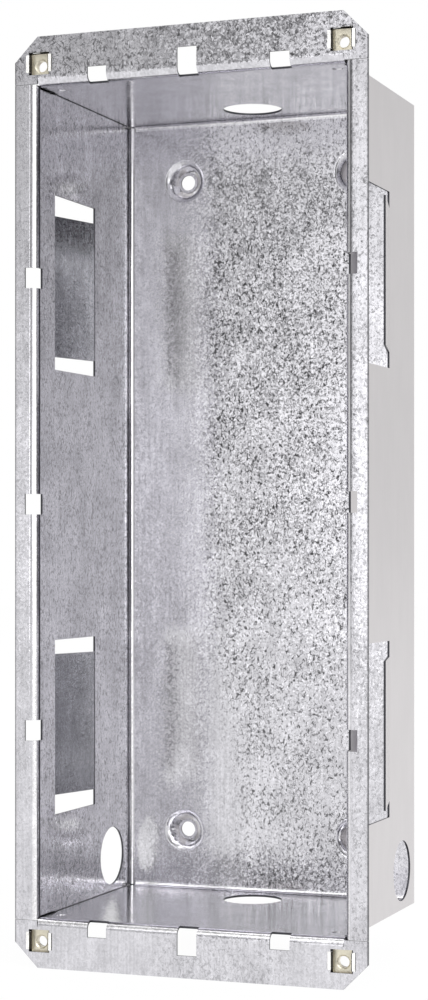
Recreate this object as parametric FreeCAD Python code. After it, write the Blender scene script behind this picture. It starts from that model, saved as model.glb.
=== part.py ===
import FreeCAD
import Part
import math
import os

# Flush back box: one galvanised sheet folded into an open box with front flanges,
# and four spring cages that hold square nuts in the flange ears.
# Frame: +X right, +Y into the wall, +Z up. The origin is the middle of the four wall
# screw holes, on the plane where the dimples touch the wall behind the box.
# The sheet is drawn with the flange front at Y = 0 and moved to that origin at the end.

# Folded box, outside sizes in millimetres
box_width = 121.0
box_height = 310.0
box_depth = 90.0
sheet = 0.8
front_fold_radius = 2.4
back_fold_radius = 2.0
side_flange = 8.0
end_flange = 17.5
ear_chamfer = 9.2
corner_slit = 0.2
side_wall_short = 0.2
corner_seam = 0.4

# Cut-outs across the front fold
notch_width = 7.6
side_notch_depth = 5.2
end_notch_depth = 3.4
side_notch_reach = 4.0
end_notch_reach = 5.0
mid_notch_reach = 9.4
side_cut_inset = 71.0
side_cut_drop = 0.7
end_notch_inset = 25.0

# Round cable holes
cable_hole_diameter = 23.0
cable_hole_from_back = 19.5
side_hole_from_bottom = 15.0

# Fixing lugs cut out of the side walls
window_height = 66.0
window_length = 37.4
window_from_front = 16.2
window_slot = 6.0
lug_angle = 14.0
lug_fold_radius = 1.5

# Dimples with the wall screw holes
dimple_inset_x = 24.5
dimple_inset_z = 24.0
dimple_diameter = 17.6
dimple_depth = 4.0
dimple_slope = 52.0
dimple_shoulder_radius = 3.4
dimple_shoulder_steps = 4
screw_hole_diameter = 6.0

# Welded corner tabs, folded from the side walls over the top and bottom walls
corner_tab_length = 12.0
corner_tab_reach = 13.0
corner_tab_from_front = 4.0
corner_tab_relief = 0.5
corner_tab_fold_radius = 0.7
corner_tab_gap = 1.2
weld_diameter = 4.0
weld_dent = 0.15

# Cage nuts in the flange ears
nut_inset_x = 9.8
nut_inset_z = 10.0
nut_hole = 8.3
cage_sheet = 0.4
cage_lip_bevel = 0.4
cage_leg_clearance = 0.25
cage_leg_height = 6.4
cage_lip = 1.2
cage_shoulder_gap = 0.1
cage_back_hole = 5.6
keeper_width = 4.0
keeper_length = 3.0
nut_width = 9.0
nut_thickness = 3.2
nut_front = 2.2
nut_side_play = 0.3
nut_settle = 0.6
nut_bore = 4.2
nut_chamfer = 0.5

half_width = box_width / 2
half_height = box_height / 2
overall_half_width = half_width + side_flange
overall_half_height = half_height + end_flange
side_top = half_height - side_wall_short
end_wall_edge = half_width - sheet - corner_seam
side_cut_pitch = half_height - side_cut_inset
side_cut_heights = (-side_cut_pitch - side_cut_drop, side_cut_pitch - side_cut_drop)
end_notch_x = half_width - end_notch_inset
dimple_x = half_width - dimple_inset_x
dimple_z = half_height - dimple_inset_z
nut_x = overall_half_width - nut_inset_x
nut_z = overall_half_height - nut_inset_z
back_inner = box_depth - sheet
wall_plane = box_depth + dimple_depth
overlap = 1.0


def vec(x, y, z=0.0):
    return FreeCAD.Vector(x, y, z)


def block(x0, x1, y0, y1, z0, z1):
    # Box between two limits along each axis.
    return Part.makeBox(x1 - x0, y1 - y0, z1 - z0, vec(x0, y0, z0))


def folded_face(start, heading, steps, thickness):
    # Section of a folded strip. The path follows one face of the strip and the metal lies
    # on its left. A step is a straight length, or a pair (turn in degrees, inside radius).
    point = vec(*start)
    angle = math.radians(heading)
    near = []
    far = []
    for step in steps:
        left = vec(-math.sin(angle), math.cos(angle))
        if isinstance(step, tuple):
            turn = math.radians(step[0])
            radius = step[1] + thickness if turn > 0 else step[1]
            side = 1.0 if turn > 0 else -1.0
            centre = point + left * (side * radius)
            near_arc = []
            far_arc = []
            for share in (0.0, 0.5, 1.0):
                swung = angle + turn * share
                out = vec(-math.sin(swung), math.cos(swung)) * side
                near_arc.append(centre - out * radius)
                far_arc.append(centre - out * (radius - side * thickness))
            near.append(Part.Arc(*near_arc).toShape())
            far.append(Part.Arc(*far_arc).toShape())
            point = near_arc[2]
            angle = angle + turn
        else:
            end = point + vec(math.cos(angle), math.sin(angle)) * step
            near.append(Part.makeLine(point, end))
            far.append(Part.makeLine(point + left * thickness, end + left * thickness))
            point = end
    left = vec(-math.sin(angle), math.cos(angle))
    first = vec(-math.sin(math.radians(heading)), math.cos(math.radians(heading)))
    begin = vec(*start)
    closing = [
        Part.makeLine(point, point + left * thickness),
        Part.makeLine(begin, begin + first * thickness),
    ]
    edges = Part.__sortEdges__(near + far + closing)
    return Part.Face(Part.Wire(edges))


def creased_face(corners, thickness):
    # Section of a strip with sharp creases. The corners run along one face of the strip and
    # the metal lies on its left.
    lefts = []
    for begin, end in zip(corners, corners[1:]):
        way = (end - begin).normalize()
        lefts.append(vec(-way.y, way.x))
    far = [corners[0] + lefts[0] * thickness]
    for corner, one, two in zip(corners[1:], lefts, lefts[1:]):
        far.append(corner + (one + two) * (thickness / (1 + one.dot(two))))
    far.append(corners[-1] + lefts[-1] * thickness)
    return Part.Face(Part.makePolygon(corners + far[::-1] + corners[:1]))


def extruded(face, z0, z1):
    face = face.translated(vec(0, 0, z0))
    return face.extrude(vec(0, 0, z1 - z0))


def mirrored_x(shape):
    return shape.mirror(vec(0, 0, 0), vec(1, 0, 0))


def mirrored_z(shape):
    return shape.mirror(vec(0, 0, 0), vec(0, 0, 1))


def four_ways(shape):
    # The shape and its copies in the other three quarters of the front view.
    pair = [shape, mirrored_x(shape)]
    return pair + [mirrored_z(item) for item in pair]


def u_section(half_span, flange):
    # Section through two opposite walls, the back panel between them and their flanges.
    flat = flange - front_fold_radius
    wall = box_depth - 2 * sheet - front_fold_radius - back_fold_radius
    back = 2 * (half_span - sheet - back_fold_radius)
    steps = [
        flat,
        (90, front_fold_radius),
        wall,
        (-90, back_fold_radius),
        back,
        (-90, back_fold_radius),
        wall,
        (90, front_fold_radius),
        flat,
    ]
    return folded_face((-half_span - flange, 0), 0, steps, sheet)


def side_walls():
    # Side walls, side flanges and the back panel between them.
    shape = extruded(u_section(half_width, side_flange), -side_top, side_top)
    fold_x = half_width - sheet - back_fold_radius
    fold_z = half_height - sheet - back_fold_radius
    strip = block(-fold_x, fold_x, back_inner - overlap, box_depth + overlap, fold_z, side_top + overlap)
    return shape.cut([strip, mirrored_z(strip)])


def end_walls():
    # Top and bottom walls with their flanges, clear of the side walls by the seam.
    edge = end_wall_edge
    shape = extruded(u_section(half_height, end_flange), -edge, edge)
    shape = shape.rotate(vec(0, 0, 0), vec(0, 1, 0), -90)
    fold_x = half_width - sheet - back_fold_radius - corner_seam
    fold_z = half_height - sheet - back_fold_radius
    fold_y = box_depth - sheet - back_fold_radius
    past = edge + overlap
    corner = block(fold_x, past, fold_y, box_depth + overlap, fold_z, half_height + overlap)
    panel = block(fold_x, past, back_inner, box_depth + overlap, -fold_z, fold_z)
    tab_end = corner_tab_from_front + corner_tab_length + corner_tab_relief
    seam = block(
        half_width - sheet - corner_tab_gap,
        past,
        corner_tab_from_front - corner_tab_relief,
        tab_end,
        half_height - sheet - overlap,
        half_height + overlap,
    )
    shape = shape.cut(four_ways(corner) + four_ways(seam) + [panel, mirrored_x(panel)])
    plate = end_flange_plate()
    return shape.fuse([plate, mirrored_z(plate)])


def end_flange_plate():
    # Top flange across the whole front, with chamfered ears beyond the side walls.
    fold = half_height + front_fold_radius
    low = side_top + corner_slit
    high = overall_half_height
    wide = overall_half_width
    inner = end_wall_edge + corner_slit
    right_half = [
        vec(inner, 0, fold),
        vec(inner, 0, low),
        vec(wide, 0, low),
        vec(wide, 0, high - ear_chamfer),
        vec(wide - ear_chamfer, 0, high),
    ]
    left_half = [vec(-point.x, 0, point.z) for point in right_half]
    outline = right_half + left_half[::-1] + right_half[:1]
    return Part.Face(Part.makePolygon(outline)).extrude(vec(0, sheet, 0))


def corner_tab():
    # Tab of the left wall folded over the outside of the top wall and welded to it.
    radius = corner_tab_fold_radius
    start = (-half_width + sheet, half_height - radius)
    flat = corner_tab_reach - sheet - radius
    face = folded_face(start, 90, [(-90, radius), flat], sheet)
    back = corner_tab_from_front + corner_tab_length
    shape = extruded(face, -back, -corner_tab_from_front)
    return shape.rotate(vec(0, 0, 0), vec(1, 0, 0), 90)


def corner_tab_room():
    # Wall edge taken away where the corner tab is folded, with a relief at each end.
    return block(
        -half_width - overlap,
        -half_width + sheet + corner_seam / 2,
        corner_tab_from_front - corner_tab_relief,
        corner_tab_from_front + corner_tab_length + corner_tab_relief,
        half_height - corner_tab_fold_radius,
        half_height + overlap,
    )


def weld_spot():
    # Shallow round dent where the top wall is welded to the corner tab.
    middle_x = -half_width + corner_tab_reach / 2
    middle_y = corner_tab_from_front + corner_tab_length / 2
    low = half_height - sheet - overlap
    return Part.makeCylinder(weld_diameter / 2, overlap + weld_dent, vec(middle_x, middle_y, low))


def front_notches():
    # Cut-outs across the folds between walls and flanges.
    notches = []
    for z in (side_cut_heights[0], -side_cut_drop, side_cut_heights[1]):
        side = block(
            half_width - sheet - overlap,
            half_width + side_notch_reach,
            -overlap,
            side_notch_depth,
            z - notch_width / 2,
            z + notch_width / 2,
        )
        notches += [side, mirrored_x(side)]
    for x, reach in (
        (-end_notch_x, end_notch_reach),
        (0.0, mid_notch_reach),
        (end_notch_x, end_notch_reach),
    ):
        end = block(
            x - notch_width / 2,
            x + notch_width / 2,
            -overlap,
            end_notch_depth,
            half_height - sheet - overlap,
            half_height + reach,
        )
        notches += [end, mirrored_z(end)]
    return notches


def cable_holes():
    radius = cable_hole_diameter / 2
    y = box_depth - cable_hole_from_back
    z = -half_height + side_hole_from_bottom
    tall = Part.makeCylinder(radius, box_height + 2 * overlap, vec(0, y, -half_height - overlap))
    across = Part.makeCylinder(
        radius, box_width + 2 * overlap, vec(-half_width - overlap, y, z), vec(1, 0, 0)
    )
    return [tall, across]


def windows():
    cuts = []
    for z in side_cut_heights:
        cut = block(
            half_width - sheet - overlap,
            half_width + overlap,
            window_from_front,
            window_from_front + window_length,
            z - window_height / 2,
            z + window_height / 2,
        )
        cuts += [cut, mirrored_x(cut)]
    return cuts


def fixing_lugs():
    # Lugs left standing in the windows: joined at the back edge, swung outward.
    hinge = window_from_front + window_length
    swing = math.radians(lug_angle)
    flat = window_length - window_slot - (lug_fold_radius + sheet) * swing
    steps = [(lug_angle, lug_fold_radius), flat]
    face = folded_face((half_width - sheet, hinge), -90, steps, sheet)
    tall = window_height / 2 - window_slot
    lugs = []
    for z in side_cut_heights:
        lug = extruded(face, z - tall, z + tall)
        lugs += [lug, mirrored_x(lug)]
    return lugs


def dimple_section():
    # Section of one dimple, to be turned round the Y axis. Its shoulder bends in short steps.
    slope = math.radians(dimple_slope)
    rim = dimple_diameter / 2
    corners = [vec(-rim - overlap, back_inner), vec(-rim, back_inner)]
    for step in range(1, dimple_shoulder_steps + 1):
        turn = slope * step / dimple_shoulder_steps
        across = dimple_shoulder_radius * math.sin(turn)
        down = dimple_shoulder_radius * (1 - math.cos(turn))
        corners.append(vec(-rim + across, back_inner + down))
    floor = back_inner + dimple_depth
    edge = corners[-1]
    corners.append(vec(edge.x + (floor - edge.y) / math.tan(slope), floor))
    corners.append(vec(-screw_hole_diameter / 2, floor))
    return creased_face(corners, sheet)


def box_body():
    body = side_walls().fuse(end_walls())
    body = body.cut(four_ways(corner_tab_room()))
    body = body.fuse(four_ways(corner_tab()))
    rim = dimple_diameter / 2 + overlap
    below = vec(0, back_inner - overlap, 0)
    seat = Part.makeCylinder(rim, 2 * overlap + sheet, below, vec(0, 1, 0))
    dimple = dimple_section().revolve(vec(0, 0, 0), vec(0, 1, 0), 360)
    place = vec(-dimple_x, 0, dimple_z)
    nut_cut = block(-nut_hole / 2, nut_hole / 2, -overlap, 2 * overlap, -nut_hole / 2, nut_hole / 2)
    nut_cut = nut_cut.translated(vec(-nut_x, 0, nut_z))
    cuts = front_notches() + cable_holes() + windows()
    cuts += four_ways(seat.translated(place)) + four_ways(nut_cut) + four_ways(weld_spot())
    body = body.cut(cuts)
    body = body.fuse(fixing_lugs() + four_ways(dimple.translated(place)))
    return body.removeSplitter()


def cage():
    # Spring cage round one nut, drawn with the nut hole centred on the Y axis.
    leg_x = nut_hole / 2 - cage_leg_clearance - cage_sheet
    side_x = nut_width / 2 + nut_side_play
    shoulder = sheet + cage_shoulder_gap
    back_face = nut_front + nut_thickness
    right_half = [
        vec(leg_x + cage_lip_bevel + cage_lip, -cage_sheet),
        vec(leg_x + cage_lip_bevel, -cage_sheet),
        vec(leg_x, cage_lip_bevel - cage_sheet),
        vec(leg_x, shoulder + cage_sheet),
        vec(side_x, shoulder + cage_sheet),
        vec(side_x, back_face),
    ]
    left_half = [vec(-point.x, point.y) for point in right_half]
    face = creased_face(left_half + right_half[::-1], cage_sheet)
    tall = nut_width / 2 + nut_settle
    shape = extruded(face, -tall, tall)
    wide = side_x + cage_lip + overlap
    trim = block(-wide, wide, -overlap, shoulder, cage_leg_height / 2, tall + overlap)
    screw = Part.makeCylinder(
        cage_back_hole / 2, 2 * overlap + cage_sheet, vec(0, back_face - overlap, 0), vec(0, 1, 0)
    )
    shape = shape.cut([trim, mirrored_z(trim), screw])
    keeper = block(
        -keeper_width / 2,
        keeper_width / 2,
        back_face + cage_sheet - keeper_length,
        back_face + cage_sheet,
        tall,
        tall + cage_sheet,
    )
    return shape.fuse([keeper, mirrored_z(keeper)]).removeSplitter()


def square_nut():
    # Square nut with a plain bore for the thread, lying low in its cage.
    half = nut_width / 2
    back = nut_front + nut_thickness
    shape = block(-half, half, nut_front, back, -half, half)
    bore = Part.makeCylinder(nut_bore / 2, nut_thickness, vec(0, nut_front, 0), vec(0, 1, 0))
    rim = nut_bore / 2 + nut_chamfer
    lead = Part.makeCone(rim, nut_bore / 2, nut_chamfer, vec(0, nut_front, 0), vec(0, 1, 0))
    tail = Part.makeCone(rim, nut_bore / 2, nut_chamfer, vec(0, back, 0), vec(0, -1, 0))
    return shape.cut([bore, lead, tail]).translated(vec(0, 0, -nut_settle))


def at_ears(shape):
    # One copy of the shape behind each of the four ear holes.
    copies = []
    for x in (-nut_x, nut_x):
        for z in (-nut_z, nut_z):
            copies.append(shape.translated(vec(x, 0, z)))
    return Part.makeCompound(copies)


def save(shape, name):
    shape.translated(vec(0, -wall_plane, 0)).exportStep("parts/" + name + ".step")


os.makedirs("parts", exist_ok=True)
save(box_body(), "box_body")
save(at_ears(cage()), "nut_cages")
save(at_ears(square_nut()), "square_nuts")
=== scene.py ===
"""Looks for a flush back box of folded galvanised sheet, standing in a light tent."""
import logging
import math
from dataclasses import dataclass
from enum import Enum, IntEnum
from typing import Union

import bmesh
import bpy
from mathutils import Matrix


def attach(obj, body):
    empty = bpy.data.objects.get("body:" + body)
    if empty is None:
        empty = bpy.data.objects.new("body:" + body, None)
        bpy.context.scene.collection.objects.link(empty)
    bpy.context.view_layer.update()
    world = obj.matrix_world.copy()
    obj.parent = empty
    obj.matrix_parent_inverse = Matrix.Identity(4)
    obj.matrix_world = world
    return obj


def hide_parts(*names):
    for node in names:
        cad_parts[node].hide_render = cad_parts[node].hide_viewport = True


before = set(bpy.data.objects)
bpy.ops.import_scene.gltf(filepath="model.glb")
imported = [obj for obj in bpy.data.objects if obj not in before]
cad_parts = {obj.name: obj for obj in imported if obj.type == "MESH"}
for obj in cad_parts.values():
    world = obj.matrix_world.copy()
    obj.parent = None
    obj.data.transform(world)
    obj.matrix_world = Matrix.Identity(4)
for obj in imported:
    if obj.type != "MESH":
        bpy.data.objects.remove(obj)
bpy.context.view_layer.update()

MERGE_DISTANCE = 1e-6
WHOLE = (0.0, 1.0)
NOISE_SPAN = (0.3, 0.7)
NOISE_MIDDLE = 0.5
log = logging.getLogger("back_box")

Socket = bpy.types.NodeSocket
Value = Union[bpy.types.NodeSocket, float]
Pair = tuple[float, float]
Triple = tuple[float, float, float]


class Slot(Enum):
    """Material slots of the record, one held by each dressed piece."""

    SHEET = "galvanised_steel"
    CAGE = "spring_steel"
    NUT = "zinc_nut"


class SheetFace(IntEnum):
    """Kinds of face on the folded sheet, in the order of its finishes."""

    INNER = 0
    OUTER = 1
    CUT_AND_SHADE = 2
    LUG_SHADE = 3
    FOLD_HIGHLIGHT = 4


class CageFace(IntEnum):
    """Kinds of face on the spring cages, in the order of their finishes."""

    OUTSIDE = 0
    INSIDE_SHADE = 1


class NodeSheet:
    """A material's node tree with short calls for adding and joining nodes."""

    def __init__(self, name: str) -> None:
        """Starts an empty material with an output.

        Args:
            name: Name of the material.
        """
        self.material = bpy.data.materials.new(name)
        self.material.use_nodes = True
        self.tree = self.material.node_tree
        self.tree.nodes.clear()
        self.output = self.add("ShaderNodeOutputMaterial")

    def add(self, kind: str, **settings: object) -> bpy.types.Node:
        """Adds a node.

        Args:
            kind: Blender's name for the type of node.
            **settings: Properties to set on the node.

        Returns:
            The new node.
        """
        node = self.tree.nodes.new(kind)
        for key, value in settings.items():
            setattr(node, key, value)
        return node

    def join(self, source: Socket, target: Socket) -> None:
        """Links an output socket to an input socket."""
        self.tree.links.new(source, target)

    def put(self, value: Union[Value, Triple], target: Socket) -> None:
        """Links a socket to an input, or sets the input to a plain value.

        Args:
            value: A socket, a number or a vector.
            target: The input.
        """
        if isinstance(value, bpy.types.NodeSocket):
            self.join(value, target)
        else:
            target.default_value = value

    def metal(self, metallic: float) -> bpy.types.Node:
        """Adds the metal's shader and joins it to the output.

        Args:
            metallic: How metallic the surface is, from 0 to 1.

        Returns:
            The shader node.
        """
        shader = self.add("ShaderNodeBsdfPrincipled")
        shader.inputs["Metallic"].default_value = metallic
        self.join(shader.outputs["BSDF"], self.output.inputs["Surface"])
        return shader

    def sum(self, operation: str, first: Value, second: Value = 0.0) -> Socket:
        """Adds a Math node.

        Args:
            operation: Name of the operation, such as MULTIPLY.
            first: A socket or a number.
            second: A socket or a number, for the operations that take two.

        Returns:
            The socket that holds the result.
        """
        node = self.add("ShaderNodeMath", operation=operation)
        self.put(first, node.inputs[0])
        self.put(second, node.inputs[1])
        return node.outputs[0]

    def product(self, first: Value, *others: Value) -> Socket:
        """Multiplies numbers.

        Args:
            first: A socket or a number.
            *others: More sockets or numbers.

        Returns:
            The socket that holds the product.
        """
        result = first
        for other in others:
            result = self.sum("MULTIPLY", result, other)
        return result

    def vector(self, operation: str, *values: Union[Socket, Triple]) -> bpy.types.Node:
        """Adds a Vector Math node.

        Args:
            operation: Name of the operation, such as NORMALIZE.
            *values: Sockets or vectors, in the order of the node's inputs.

        Returns:
            The new node.
        """
        node = self.add("ShaderNodeVectorMath", operation=operation)
        for value, target in zip(values, node.inputs):
            self.put(value, target)
        return node

    def scaled(self, vector: Union[Socket, Triple], factor: Socket) -> Socket:
        """Scales a vector or a colour.

        Args:
            vector: A socket or a vector.
            factor: What to scale it by.

        Returns:
            The socket that holds the scaled vector.
        """
        node = self.vector("SCALE", vector)
        self.join(factor, node.inputs["Scale"])
        return node.outputs["Vector"]

    def parts(self, vector: Socket) -> bpy.types.bpy_prop_collection:
        """Splits a vector.

        Args:
            vector: The vector.

        Returns:
            The sockets that hold its X, Y and Z.
        """
        node = self.add("ShaderNodeSeparateXYZ")
        self.join(vector, node.inputs["Vector"])
        return node.outputs

    def noise(
        self, place: Socket, scale: float, detail: float, distortion: float = 0.0
    ) -> bpy.types.Node:
        """Adds a noise.

        Args:
            place: Where to read the noise.
            scale: Its fineness.
            detail: How many finer layers it has.
            distortion: How far it is twisted.

        Returns:
            The new node, whose first output is the level.
        """
        node = self.add("ShaderNodeTexNoise")
        node.inputs["Scale"].default_value = scale
        node.inputs["Detail"].default_value = detail
        node.inputs["Distortion"].default_value = distortion
        self.join(place, node.inputs["Vector"])
        return node

    def map_range(self, source: Socket, span: Pair, result: Pair) -> Socket:
        """Maps a number from one range to another with a smooth step.

        Args:
            source: The number to map.
            span: Low and high end of the incoming range.
            result: What the two ends become.

        Returns:
            The socket that holds the mapped number.
        """
        node = self.add("ShaderNodeMapRange", interpolation_type="SMOOTHSTEP")
        self.join(source, node.inputs["Value"])
        node.inputs["From Min"].default_value = span[0]
        node.inputs["From Max"].default_value = span[1]
        node.inputs["To Min"].default_value = result[0]
        node.inputs["To Max"].default_value = result[1]
        return node.outputs["Result"]

    def object_place(self, stretch: Triple = (1.0, 1.0, 1.0)) -> Socket:
        """Gives the place on the object, stretched along each axis.

        Args:
            stretch: Factor for each axis.

        Returns:
            The socket that holds the stretched place.
        """
        place = self.add("ShaderNodeTexCoord")
        mapping = self.add("ShaderNodeMapping")
        mapping.inputs["Scale"].default_value = stretch
        self.join(place.outputs["Object"], mapping.inputs["Vector"])
        return mapping.outputs["Vector"]


@dataclass(frozen=True)
class GalvanisedFinish:
    """Zinc coat on rolled sheet: fine crystals that each lean a little, and faint roll lines.

    Sizes and places are in metres. A pair that ends in _span is where something fades in or
    out along an axis, and a number that ends in _share is how much is left of it there.
    """

    name: str = "galvanised sheet"
    colour: Triple = (0.7, 0.693, 0.728)
    tone_range: Pair = (0.93, 1.06)
    roughness_range: Pair = (0.1, 0.24)

    fleck_size: float = 0.0007
    ragged_fineness: float = 2.2
    ragged_reach: float = 0.8
    fleck_tilt: float = 0.065
    wall_tilt: float = 0.03
    tilt_spread: float = 2.0
    spring_back: float = 0.04
    flat_span: Pair = (0.96, 0.995)

    line_range: Pair = (0.91, 1.06)
    line_level: Pair = (0.25, 0.75)
    line_detail: float = 3.0
    line_stretch: Triple = (1000.0, 1000.0, 40.0)
    drawn_out: Triple = (1.0, 1.0, 0.6)
    cloud_size: float = 0.009
    cloud_detail: float = 5.0
    cloud: float = 0.08

    mark_size: float = 0.0014
    mark_depth: float = 0.9
    mark_gap: float = 0.45
    grain_size: float = 0.001
    grain_depth: float = 0.48
    grain_gap: float = 0.42
    stroke_width: Pair = (0.018, 0.066)
    stroke_twist: float = 0.6
    gap_fineness: float = 0.9
    gap_fade: float = 0.12
    patch_size: float = 0.022
    patch_detail: float = 3.0
    patch_sway: float = 0.09
    wall_marks: float = 0.6

    coarse_span: Pair = (-0.032, -0.021)
    left_share: float = 0.25
    lower_span: Pair = (-0.12, -0.03)
    lower_shift: float = 0.014
    lower_share: float = 0.86
    upper_span: Pair = (0.09, 0.14)
    upper_share: float = 0.7
    edge_span: Pair = (0.034, 0.042)
    edge_share: float = 0.45
    top_flange_span: Pair = (0.155, 0.158)
    top_flange_share: float = 0.75
    bottom_flange_span: Pair = (-0.158, -0.155)
    bottom_flange_share: float = 0.4

    # Painted shade in the open corner seams and along the rims of the side flanges.
    seam_x_span: Pair = (0.05902, 0.0592)
    seam_z_span: Pair = (0.15362, 0.1538)
    mouth_span: Pair = (-0.0908, -0.0905)
    open_seam_span: Pair = (-0.079, -0.077)
    seam_depth: Pair = (0.95, 0.25)
    rim_span: Pair = (0.0679, 0.0682)
    rim_depth: float = 0.55

    def material(self) -> bpy.types.Material:
        """Builds the zinc coat.

        Returns:
            The finished material.
        """
        sheet = NodeSheet(self.name)
        shader = sheet.metal(1.0)
        flecks = sheet.add("ShaderNodeTexVoronoi", feature="F1")
        flecks.inputs["Scale"].default_value = 1.0 / self.fleck_size
        sheet.join(self.ragged(sheet), flecks.inputs["Vector"])
        split = sheet.add("ShaderNodeSeparateColor")
        sheet.join(flecks.outputs["Color"], split.inputs["Color"])
        sheet.join(self.tone(sheet, split.outputs["Blue"]), shader.inputs["Base Color"])
        rough = sheet.map_range(split.outputs["Red"], WHOLE, self.roughness_range)
        sheet.join(rough, shader.inputs["Roughness"])
        if self.fleck_tilt:
            sheet.join(self.lean(sheet, flecks.outputs["Color"]), shader.inputs["Normal"])
        return sheet.material

    def ragged(self, sheet: NodeSheet) -> Socket:
        """Shifts the place by a fine noise, so that the crystals have ragged edges.

        Args:
            sheet: Node tree to add to.

        Returns:
            The socket that holds the shifted place.
        """
        place = sheet.object_place()
        noise = sheet.noise(place, self.ragged_fineness / self.fleck_size, 1.0)
        reach = (self.fleck_size * self.ragged_reach,) * 3
        shift = sheet.vector("MULTIPLY_ADD", noise.outputs["Color"], reach, place)
        return shift.outputs["Vector"]

    def tone(self, sheet: NodeSheet, share: Socket) -> Socket:
        """Varies the colour from crystal to crystal, along roll lines and in faint clouds, and
        adds the marks and painted shade in the seams.

        Args:
            sheet: Node tree to add to.
            share: Random number of the crystal, from 0 to 1.

        Returns:
            The socket that holds the colour.
        """
        lines = sheet.noise(sheet.object_place(self.line_stretch), 1.0, self.line_detail)
        clouds = sheet.noise(
            sheet.object_place(self.drawn_out), 1.0 / self.cloud_size, self.cloud_detail
        )
        factors = [
            sheet.map_range(share, WHOLE, self.tone_range),
            sheet.map_range(lines.outputs[0], self.line_level, self.line_range),
            sheet.map_range(clouds.outputs[0], NOISE_SPAN, (1.0 - self.cloud, 1.0 + self.cloud)),
        ]
        # The marks, and painted shade in the seams and along the flange rims.
        if self.mark_depth:
            factors += [self.marks(sheet), self.seam_painted_shade(sheet)]
        return sheet.scaled(self.colour, sheet.product(*factors))

    def crowding(self, sheet: NodeSheet) -> Socket:
        """Tells where the crystals are coarse.

        That is the right of the back panel and the top flange most of all.

        Args:
            sheet: Node tree to add to.

        Returns:
            The socket that holds the share of coarse crystals, from 0 to 1.
        """
        place = sheet.parts(sheet.object_place())
        shift = sheet.map_range(place["Z"], self.lower_span, (self.lower_shift, 0.0))
        beside = sheet.sum("SUBTRACT", place["X"], shift)
        panel = sheet.product(
            sheet.map_range(beside, self.coarse_span, (self.left_share, 1.0)),
            sheet.map_range(place["Z"], self.lower_span, (self.lower_share, 1.0)),
            sheet.map_range(place["Z"], self.upper_span, (1.0, self.upper_share)),
            sheet.map_range(place["X"], self.edge_span, (1.0, self.edge_share)),
        )
        top = sheet.map_range(place["Z"], self.top_flange_span, (0.0, self.top_flange_share))
        bottom = sheet.map_range(
            place["Z"], self.bottom_flange_span, (self.bottom_flange_share, 1.0)
        )
        return sheet.product(sheet.sum("MAXIMUM", panel, top), bottom)

    def facing(self, sheet: NodeSheet, axis: str) -> Socket:
        """Tells the flat faces that look along an axis from everything else.

        Args:
            sheet: Node tree to add to.
            axis: Letter of the axis.

        Returns:
            The socket that holds 1 on those faces and 0 elsewhere.
        """
        normal = sheet.add("ShaderNodeNewGeometry").outputs["Normal"]
        along = sheet.sum("ABSOLUTE", sheet.parts(normal)[axis])
        return sheet.map_range(along, self.flat_span, WHOLE)

    def strokes(self, sheet: NodeSheet, size: float, gap: float) -> Socket:
        """Draws short strokes, which follow the level lines of a noise and break off in gaps.

        Args:
            sheet: Node tree to add to.
            size: Size of the noise in metres.
            gap: Level below which the strokes break off.

        Returns:
            The socket that holds how deep the stroke is, from 0 to 1.
        """
        fine = sheet.noise(
            sheet.object_place(self.drawn_out), 1.0 / size, 1.0, self.stroke_twist
        )
        level = sheet.sum("ABSOLUTE", sheet.sum("SUBTRACT", fine.outputs[0], NOISE_MIDDLE))
        stroke = sheet.map_range(level, self.stroke_width, (1.0, 0.0))
        broken = sheet.noise(sheet.object_place(), self.gap_fineness / size, 0.0)
        patch = sheet.noise(sheet.object_place(), 1.0 / self.patch_size, self.patch_detail)
        sway = sheet.map_range(patch.outputs[0], NOISE_SPAN, (-self.patch_sway, self.patch_sway))
        swayed = sheet.sum("ADD", broken.outputs[0], sway)
        kept = sheet.map_range(swayed, (gap, gap + self.gap_fade), WHOLE)
        return sheet.product(stroke, kept)

    def marks(self, sheet: NodeSheet) -> Socket:
        """Lays dark strokes over a fine grain, most of all where the crystals are coarse.

        Args:
            sheet: Node tree to add to.

        Returns:
            The socket that holds the factor for the colour, below 1 in a mark.
        """
        wall = sheet.product(self.facing(sheet, "X"), self.wall_marks)
        coarse = sheet.product(self.facing(sheet, "Y"), self.crowding(sheet))
        share = sheet.sum("ADD", wall, coarse)
        dark = sheet.product(self.strokes(sheet, self.mark_size, self.mark_gap), self.mark_depth)
        grain = sheet.product(
            self.strokes(sheet, self.grain_size, self.grain_gap), self.grain_depth
        )
        depth = sheet.product(sheet.sum("MAXIMUM", dark, grain), share)
        return sheet.sum("SUBTRACT", 1.0, depth)

    def seam_painted_shade(self, sheet: NodeSheet) -> Socket:
        """Paints shade into the open seams in the four long corners and along the rims of the side
        flanges.

        Args:
            sheet: Node tree to add to.

        Returns:
            The socket that holds the factor for the colour, near 0 in a seam.
        """
        place = sheet.parts(sheet.object_place())
        beside = sheet.sum("ABSOLUTE", place["X"])
        above = sheet.sum("ABSOLUTE", place["Z"])
        seam = sheet.product(
            sheet.map_range(beside, self.seam_x_span, WHOLE),
            sheet.map_range(above, self.seam_z_span, WHOLE),
            sheet.map_range(place["Y"], self.mouth_span, WHOLE),
            sheet.map_range(place["Y"], self.open_seam_span, self.seam_depth),
        )
        rim = sheet.map_range(beside, self.rim_span, (0.0, self.rim_depth))
        return sheet.sum("SUBTRACT", 1.0, sheet.sum("MAXIMUM", seam, rim))

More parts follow.
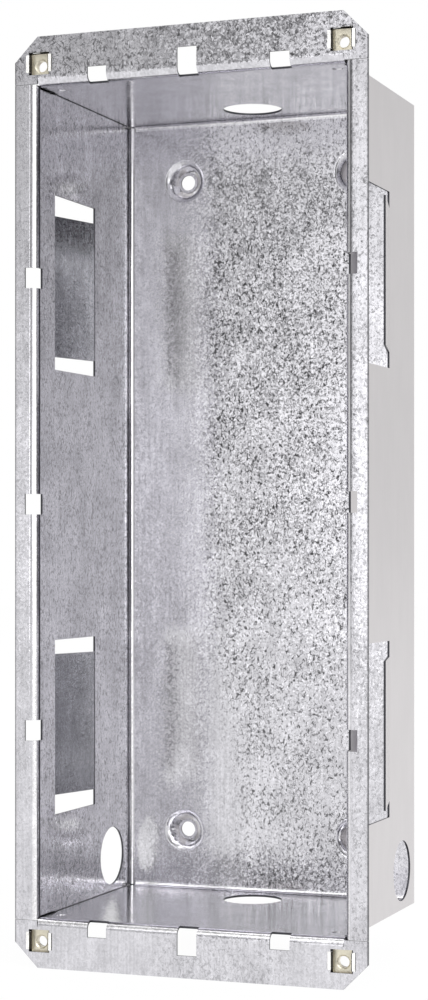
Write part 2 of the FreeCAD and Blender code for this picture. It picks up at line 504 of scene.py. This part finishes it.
    def lean(self, sheet: NodeSheet, random: Socket) -> Socket:
        """Tilts each crystal a little its own way, and the walls as they sprang back.

        Args:
            sheet: Node tree to add to.
            random: Random colour of the crystal.

        Returns:
            The socket that holds the tilted normal.
        """
        normal = sheet.add("ShaderNodeNewGeometry").outputs["Normal"]
        steep = sheet.sum("MAXIMUM", self.facing(sheet, "X"), self.facing(sheet, "Z"))
        sprung = sheet.add("ShaderNodeCombineXYZ")
        sheet.join(sheet.product(steep, self.spring_back), sprung.inputs["Y"])
        wall = sheet.vector("ADD", normal, sprung.outputs["Vector"])
        coarse = sheet.product(self.facing(sheet, "Y"), self.crowding(sheet))
        amount = sheet.map_range(coarse, WHOLE, (self.wall_tilt, self.fleck_tilt))
        centred = sheet.vector("SUBTRACT", random, (NOISE_MIDDLE,) * 3).outputs["Vector"]
        length = sheet.vector("LENGTH", centred).outputs["Value"]
        shift = sheet.scaled(centred, sheet.product(amount, length, self.tilt_spread))
        tilted = sheet.vector("ADD", shift, wall.outputs["Vector"])
        return sheet.vector("NORMALIZE", tilted.outputs["Vector"]).outputs["Vector"]


@dataclass(frozen=True)
class PlatedFinish:
    """Thin zinc plating, a bare cut or a near-black painted shade, with faint clouds."""

    name: str
    colour: Triple
    roughness: float
    metallic: float = 1.0
    cloud_size: float = 0.004
    cloud_detail: float = 2.0
    cloud_range: Pair = (0.88, 1.06)

    def material(self) -> bpy.types.Material:
        """Builds the plating.

        Returns:
            The finished material.
        """
        sheet = NodeSheet(self.name)
        shader = sheet.metal(self.metallic)
        shader.inputs["Roughness"].default_value = self.roughness
        clouds = sheet.noise(sheet.object_place(), 1.0 / self.cloud_size, self.cloud_detail)
        factor = sheet.map_range(clouds.outputs[0], NOISE_SPAN, self.cloud_range)
        sheet.join(sheet.scaled(self.colour, factor), shader.inputs["Base Color"])
        return sheet.material


@dataclass(frozen=True)
class TentFinish:
    """Cloth of the light tent, with soft boxes shining through and dark gaps between them.

    A stop is an angle in degrees and the strength there. Azimuth is counted from the front,
    positive to the right of the box, and height from the level of the box.
    """

    name: str = "tent cloth"
    azimuth_stops: tuple[Pair, ...] = (
        (-180.0, 0.85), (-125.0, 0.8), (-112.0, 0.35), (-86.0, 0.4), (-82.0, 0.95),
        (-66.0, 0.95), (-62.0, 0.35), (-34.0, 0.3), (-29.0, 0.8), (-27.0, 1.55),
        (-25.0, 1.55), (-23.0, 0.5), (-19.8, 0.5), (-18.5, 1.25), (-17.6, 1.9),
        (-16.6, 2.35), (-12.0, 2.5), (-8.5, 2.5), (-4.5, 0.4), (8.0, 0.3),
        (12.0, 0.95), (21.5, 1.05), (26.0, 1.55), (33.0, 1.55), (38.0, 3.4),
        (70.0, 3.4), (73.0, 0.1), (80.0, 0.15), (86.0, 0.85), (180.0, 0.85),
    )
    height_stops: tuple[Pair, ...] = (
        (-10.0, 1.0), (0.0, 1.0), (6.0, 0.78), (9.0, 0.64), (12.0, 0.58),
        (18.0, 0.4), (30.0, 1.4), (64.0, 1.5), (71.0, 2.8), (90.0, 2.8),
    )
    back_span: Pair = (0.2, 0.6)
    back_glow: float = 0.35
    back_limit: float = 0.9
    raised_span: Pair = (0.0, 0.2)
    raised_range: Pair = (0.1, 1.0)
    full_scale: float = 4.0

    def material(self) -> bpy.types.Material:
        """Builds the glowing cloth.

        Returns:
            The finished material.
        """
        sheet = NodeSheet(self.name)
        glow = sheet.add("ShaderNodeEmission")
        sheet.join(glow.outputs["Emission"], sheet.output.inputs["Surface"])
        unit = sheet.vector("NORMALIZE", sheet.object_place())
        place = sheet.parts(unit.outputs["Vector"])
        around = sheet.sum("ARCTAN2", place["X"], sheet.product(place["Y"], -1.0))
        up = sheet.sum("ARCSINE", place["Z"])
        front = sheet.product(
            self.stops(sheet, around, self.azimuth_stops), self.stops(sheet, up, self.height_stops)
        )
        back = sheet.product(
            sheet.map_range(place["Y"], self.back_span, (0.0, self.back_glow)),
            sheet.map_range(place["Z"], self.raised_span, self.raised_range),
        )
        limit = sheet.map_range(place["Y"], self.back_span, (self.full_scale, self.back_limit))
        strength = sheet.sum("MINIMUM", sheet.sum("ADD", front, back), limit)
        sheet.join(strength, glow.inputs["Strength"])
        return sheet.material

    def stops(self, sheet: NodeSheet, angle: Socket, stops: tuple[Pair, ...]) -> Socket:
        """Looks an angle up in a list of stops.

        Args:
            sheet: Node tree to add to.
            angle: The angle in radians.
            stops: Pairs of an angle in degrees and the strength there.

        Returns:
            The socket that holds the strength.
        """
        low, high = stops[0][0], stops[-1][0]
        place = sheet.add("ShaderNodeMapRange")
        sheet.join(angle, place.inputs["Value"])
        place.inputs["From Min"].default_value = math.radians(low)
        place.inputs["From Max"].default_value = math.radians(high)
        ramp = sheet.add("ShaderNodeValToRGB")
        sheet.join(place.outputs["Result"], ramp.inputs[0])
        elements = ramp.color_ramp.elements
        while len(elements) < len(stops):
            elements.new(0.5)
        for element, (degrees, strength) in zip(elements, stops):
            element.position = (degrees - low) / (high - low)
            element.color = (strength / self.full_scale,) * 3 + (1.0,)
        return sheet.product(ramp.outputs["Color"], self.full_scale)


@dataclass(frozen=True)
class FloorFinish:
    """White floor that stays white to the camera and keeps a faint shadow."""

    name: str = "white floor"
    colour: tuple[float, float, float, float] = (0.9, 0.9, 0.9, 1.0)
    white_share: float = 0.97

    def material(self) -> bpy.types.Material:
        """Builds the floor.

        Returns:
            The finished material.
        """
        sheet = NodeSheet(self.name)
        matt = sheet.add("ShaderNodeBsdfDiffuse")
        matt.inputs["Color"].default_value = self.colour
        white = sheet.add("ShaderNodeEmission")
        path = sheet.add("ShaderNodeLightPath")
        seen = sheet.sum("MAXIMUM", path.outputs["Is Camera Ray"], path.outputs["Is Glossy Ray"])
        seen = sheet.sum("MAXIMUM", seen, path.outputs["Is Transmission Ray"])
        mix = sheet.add("ShaderNodeMixShader")
        sheet.join(sheet.product(seen, self.white_share), mix.inputs[0])
        sheet.join(matt.outputs["BSDF"], mix.inputs[1])
        sheet.join(white.outputs["Emission"], mix.inputs[2])
        sheet.join(mix.outputs["Shader"], sheet.output.inputs["Surface"])
        return sheet.material


@dataclass
class DressedNode:
    """A CAD node shown through a merged copy with smooth folds and flat panels."""

    node: str
    piece: str
    slot: Slot
    finishes: list[Union[GalvanisedFinish, PlatedFinish]]
    crease_degrees: float = 28.0

    def build(self) -> bpy.types.Object:
        """Makes the piece that stands for the node, rides it and dresses it.

        Returns:
            The finished object.
        """
        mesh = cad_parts[self.node].data.copy()
        mesh.name = self.piece
        mesh.materials.clear()
        for finish in self.finishes:
            mesh.materials.append(finish.material())
        shell = bmesh.new()
        shell.from_mesh(mesh)
        bmesh.ops.remove_doubles(shell, verts=shell.verts, dist=MERGE_DISTANCE)
        self.mark_creases(shell)
        self.choose_finishes(shell)
        shell.to_mesh(mesh)
        shell.free()
        piece = bpy.data.objects.new(self.piece, mesh)
        bpy.context.scene.collection.objects.link(piece)
        weighing = piece.modifiers.new("flat panels", "WEIGHTED_NORMAL")
        weighing.mode = "FACE_AREA"
        weighing.keep_sharp = True
        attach(piece, "root")
        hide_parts(self.node)
        return piece

    def mark_creases(self, shell: bmesh.types.BMesh) -> None:
        """Keeps cut edges sharp and lets the folds shade as curves.

        Args:
            shell: Merged mesh of the node.
        """
        limit = math.radians(self.crease_degrees)
        for face in shell.faces:
            face.smooth = True
        for edge in shell.edges:
            edge.smooth = len(edge.link_faces) == 2 and edge.calc_face_angle() < limit

    def choose_finishes(self, shell: bmesh.types.BMesh) -> None:
        """Leaves every face with the first finish."""
        for face in shell.faces:
            face.material_index = 0


@dataclass
class SheetNode(DressedNode):
    """The folded sheet, whose two sides, lugs, folds and cut edges each have their own finish:
    painted shade on the inner sides of the left lugs and on the lug bends, a painted highlight on
    the inner folds, and near-black cut edges that are partly painted shade.

    Places and widths are in metres. The three leans are the share of a face's normal that
    points along Y, for a fold, or along X, for a lug and for the bend that carries it.
    """

    wall_plane: float = 0.0594
    fold_x: float = 0.0575
    fold_z: float = 0.1515
    front_y: float = -0.085
    weld_width: float = 0.0003
    cut_width: float = 0.00095
    fold_lean: Pair = (0.5, 0.9)
    lug_lean: Pair = (0.95, 0.972)
    bend_lean: Pair = (0.972, 0.9995)

    def choose_finishes(self, shell: bmesh.types.BMesh) -> None:
        """Marks the outer side, the folds, the lugs and the cut edges, in that order.

        Args:
            shell: Merged mesh of the node.
        """
        self.mark_outer_side(shell)
        self.mark_folds(shell)
        self.mark_lugs(shell)
        self.mark_cut_edges(shell)

    def mark_outer_side(self, shell: bmesh.types.BMesh) -> None:
        """Tells the faces that look away from the hollow of the box from the inner ones.

        Args:
            shell: Merged mesh of the node.
        """
        for face in shell.faces:
            middle = face.calc_center_median()
            along = 0 if abs(face.normal.x) > abs(face.normal.z) else 2
            inward = -math.copysign(face.normal[along], face.normal[along] * middle[along])
            inner = inward - face.normal.y > 0.0
            face.material_index = SheetFace.INNER if inner else SheetFace.OUTER

    def mark_folds(self, shell: bmesh.types.BMesh) -> None:
        """Gives the folds on the inner side a brighter finish, which is a painted highlight.

        The fold of the top flange gets no painted highlight and keeps the sheet's finish.

        Args:
            shell: Merged mesh of the node, with its outer side marked.
        """
        for face in shell.faces:
            middle = face.calc_center_median()
            corner = abs(middle.x) > self.fold_x or abs(middle.z) > self.fold_z
            slanted = self.fold_lean[0] < abs(face.normal.y) < self.fold_lean[1]
            top_flange_fold = middle.z > self.fold_z and middle.y < self.front_y
            # Painted highlight: the inner folds get a brighter copy of the sheet.
            if face.material_index == SheetFace.INNER and corner and slanted and not top_flange_fold:
                face.material_index = SheetFace.FOLD_HIGHLIGHT

    def mark_lugs(self, shell: bmesh.types.BMesh) -> None:
        """Paints shade on the inner side of the left lugs, and on the bends of all four.

        Args:
            shell: Merged mesh of the node, with its outer side and folds marked.
        """
        inner = (SheetFace.INNER, SheetFace.FOLD_HIGHLIGHT)
        for face in shell.faces:
            beside = face.calc_center_median().x
            if face.material_index in inner and abs(beside) > self.wall_plane:
                across = abs(face.normal.x)
                # Painted shade: the inner sides of the left lugs only.
                if self.lug_lean[0] < across < self.lug_lean[1] and beside < 0.0:
                    face.material_index = SheetFace.LUG_SHADE
                # Painted shade: the bends of all four lugs get the near-black cut finish.
                elif self.bend_lean[0] <= across < self.bend_lean[1]:
                    face.material_index = SheetFace.CUT_AND_SHADE

    def mark_cut_edges(self, shell: bmesh.types.BMesh) -> None:
        """Marks the narrow faces where the sheet was sheared, which get a near-black finish: the
        bare steel of the cut, darkened further with painted shade.

        A patch is a set of faces that join without a crease, and a cut edge is a patch whose mean
        width is little more than the sheet is thick. The far narrower rims of the weld spots get
        the fold finish, which is a painted highlight.

        Args:
            shell: Merged mesh of the node, with its creases marked.
        """
        waiting = set(shell.faces)
        while waiting:
            patch = self.patch(waiting.pop())
            waiting -= patch
            rim = sum(
                edge.calc_length() for face in patch for edge in face.edges if not edge.smooth
            )
            twice_area = 2.0 * sum(face.calc_area() for face in patch)
            if twice_area < rim * self.cut_width:
                weld = twice_area < rim * self.weld_width
                for face in patch:
                    face.material_index = SheetFace.FOLD_HIGHLIGHT if weld else SheetFace.CUT_AND_SHADE

    def patch(self, first: bmesh.types.BMFace) -> set[bmesh.types.BMFace]:
        """Finds the faces that join a face without a crease.

        Args:
            first: Face to start from.

        Returns:
            The faces of the patch, the first one among them.
        """
        found = {first}
        edge_of_search = [first]
        while edge_of_search:
            face = edge_of_search.pop()
            for edge in face.edges:
                if edge.smooth:
                    for other in edge.link_faces:
                        if other not in found:
                            found.add(other)
                            edge_of_search.append(other)
        return found


@dataclass
class CageNode(DressedNode):
    """The spring cages, with painted shade inside them and on the rims of their lips."""

    lip_plane: float = -0.0939
    centre_x: float = 0.0587
    centre_z: float = 0.1625
    inward_least: float = 0.0005
    facing_least: float = 0.5

    def choose_finishes(self, shell: bmesh.types.BMesh) -> None:
        """Gives painted shade to the faces that look into a cage and to the rims of the lips.

        Args:
            shell: Merged mesh of the node.
        """
        for face in shell.faces:
            middle = face.calc_center_median()
            to_x = math.copysign(self.centre_x, middle.x) - middle.x
            to_z = math.copysign(self.centre_z, middle.z) - middle.z
            inward = to_x * face.normal.x + to_z * face.normal.z > self.inward_least
            behind = middle.y > self.lip_plane
            # Painted shade on the faces inside a cage and on the rims of the lips.
            hollow = behind and (inward or face.normal.y < -self.facing_least)
            rim = not behind and abs(face.normal.x) > self.facing_least
            face.material_index = CageFace.INSIDE_SHADE if hollow or rim else CageFace.OUTSIDE


@dataclass
class FoldedBox:
    """The folded sheet: back panel, walls, flanges, lugs and dimples."""

    finish: GalvanisedFinish = GalvanisedFinish()
    outer_finish: GalvanisedFinish = GalvanisedFinish(
        name="galvanised sheet, outer side",
        colour=(0.66, 0.636, 0.643),
        tone_range=(0.995, 1.005),
        roughness_range=(0.28, 0.29),
        fleck_tilt=0.0,
        line_range=(0.99, 1.01),
        mark_depth=0.0,
        cloud=0.015,
    )
    # Near-black cut edges: the bare sheared steel, darkened further as painted shade; the lug
    # bends get it too, as painted shade.
    cut_edge_and_painted_shade: PlatedFinish = PlatedFinish("sheared edge, painted shade", (0.08, 0.08, 0.09), 0.45)
    # Painted shade: a darker copy of the sheet for the inner sides of the left lugs.
    lug_painted_shade: GalvanisedFinish = GalvanisedFinish(
        name="galvanised sheet, lugs, painted shade", colour=(0.53, 0.535, 0.555)
    )
    # Painted highlight: a brighter copy of the sheet for the inner folds and the weld rims.
    fold_painted_highlight: GalvanisedFinish = GalvanisedFinish(
        name="galvanised sheet, painted fold highlight",
        colour=(0.86, 0.85, 0.87),
        wall_tilt=0.02,
        mark_depth=0.0,
        cloud=0.04,
    )

    def build(self) -> list[bpy.types.Object]:
        """Dresses the folded sheet.

        Returns:
            The finished objects.
        """
        finishes = [
            self.finish, self.outer_finish, self.cut_edge_and_painted_shade, self.lug_painted_shade, self.fold_painted_highlight
        ]
        return [SheetNode("box_body", "folded_sheet", Slot.SHEET, finishes).build()]


@dataclass
class CageNuts:
    """The four square nuts and the spring cages that hold them in the ears."""

    cage_finish: PlatedFinish = PlatedFinish("cage plating", (0.97, 0.96, 0.93), 0.3, 0.3)
    # Painted shade: near black inside the cages and on the rims of the lips.
    cage_painted_shade: PlatedFinish = PlatedFinish("cage inside, painted shade", (0.03, 0.027, 0.022), 0.4)
    nut_finish: PlatedFinish = PlatedFinish("nut plating", (0.8, 0.75, 0.61), 0.3, 0.7)

    def build(self) -> list[bpy.types.Object]:
        """Dresses the cages and the nuts.

        Returns:
            The finished objects.
        """
        cage = [self.cage_finish, self.cage_painted_shade]
        return [
            CageNode("nut_cages", "spring_cages", Slot.CAGE, cage).build(),
            DressedNode("square_nuts", "nuts", Slot.NUT, [self.nut_finish]).build(),
        ]


@dataclass
class Studio:
    """Floor, light tent, sky and camera round the box."""

    floor_height: float = -0.1725
    floor_size: float = 12.0
    tent_radius: float = 5.0
    tent_segments: int = 64
    tent_rings: int = 32
    camera_place: Triple = (0.29786, -0.84983, -0.01606)
    camera_turn_degrees: Triple = (90.021, 0.0, 20.5)
    lens: float = 80.95
    shift: Pair = (-0.01207, 0.04471)

    def build(self) -> None:
        """Sets up everything round the box."""
        self.floor()
        self.tent()
        self.sky()
        self.camera()

    def staged(
        self, name: str, shell: bmesh.types.BMesh, material: bpy.types.Material
    ) -> bpy.types.Object:
        """Turns a mesh into a piece of the studio.

        Args:
            name: Name of the piece.
            shell: Its mesh, which is used up.
            material: Its finish.

        Returns:
            The staged object.
        """
        mesh = bpy.data.meshes.new(name)
        shell.to_mesh(mesh)
        shell.free()
        mesh.materials.append(material)
        piece = bpy.data.objects.new(name, mesh)
        bpy.context.scene.collection.objects.link(piece)
        log.info("%s staged", name)
        return piece

    def floor(self) -> None:
        """Lays the white floor under the box."""
        shell = bmesh.new()
        bmesh.ops.create_grid(shell, x_segments=1, y_segments=1, size=self.floor_size / 2)
        bmesh.ops.translate(shell, verts=shell.verts, vec=(0.0, 0.0, self.floor_height))
        self.staged("floor", shell, FloorFinish().material())

    def tent(self) -> None:
        """Puts a light tent over the box, which only reflections and light see."""
        shell = bmesh.new()
        bmesh.ops.create_uvsphere(
            shell,
            u_segments=self.tent_segments,
            v_segments=self.tent_rings,
            radius=self.tent_radius,
        )
        bmesh.ops.reverse_faces(shell, faces=shell.faces)
        tent = self.staged("tent", shell, TentFinish().material())
        tent.visible_camera = False
        tent.visible_shadow = False

    def sky(self) -> None:
        """Makes the background outside the tent plain white."""
        world = bpy.data.worlds.new("studio")
        bpy.context.scene.world = world
        world.use_nodes = True
        background = world.node_tree.nodes["Background"]
        background.inputs["Color"].default_value = (1.0, 1.0, 1.0, 1.0)
        background.inputs["Strength"].default_value = 1.0

    def camera(self) -> None:
        """Puts the camera where the photographer stood."""
        data = bpy.data.cameras.new("camera")
        data.lens = self.lens
        data.shift_x, data.shift_y = self.shift
        camera = bpy.data.objects.new("camera", data)
        camera.location = self.camera_place
        camera.rotation_euler = [math.radians(angle) for angle in self.camera_turn_degrees]
        bpy.context.scene.collection.objects.link(camera)
        bpy.context.scene.camera = camera


def main() -> None:
    """Builds the box, its nuts and the studio."""
    logging.basicConfig(level=logging.INFO, format="%(name)s: %(message)s")
    for piece in FoldedBox().build() + CageNuts().build():
        log.info("%s: %d faces", piece.name, len(piece.data.polygons))
    Studio().build()
    bpy.context.scene.view_settings.view_transform = "Standard"


if __name__ == "__main__":
    main()
